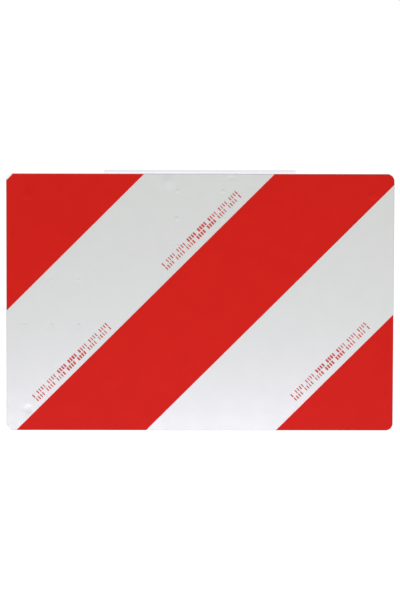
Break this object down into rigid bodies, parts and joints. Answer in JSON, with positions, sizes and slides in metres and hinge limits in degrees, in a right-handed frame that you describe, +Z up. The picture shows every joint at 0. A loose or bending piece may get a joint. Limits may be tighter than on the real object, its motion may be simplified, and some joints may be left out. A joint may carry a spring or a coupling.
{
  "type": "striped marker plate",
  "caption": "Flat striped warning marker plate with film-covered screw holes and a riveted rear hook that hangs it on a rail or board.",
  "frame": {"origin": "middle of the hook's seat, the flat underside of the hook's top flange that rests on a rail", "axes": "+X to the right of the striped face, +Y from the striped face to the rear, +Z up"},
  "size_m": [0.423, 0.0549, 0.2828],
  "materials": {
    "plate_aluminium": "mill-finish rolled sheet",
    "white_film": "silvery white retroreflective sheeting, satin",
    "red_film": "red translucent film, satin",
    "hook_aluminium": "bright folded sheet",
    "rivet_aluminium": "set rivet, slightly dull"
  },
  "bodies": {
    "root": {"backing_plate": "plate_aluminium", "white_film": "white_film", "red_film_upper_left": "red_film", "red_film_middle": "red_film", "red_film_lower_right": "red_film", "hook_bracket": "hook_aluminium", "flush_rivets": "rivet_aluminium"}
  },
  "joints": []
}
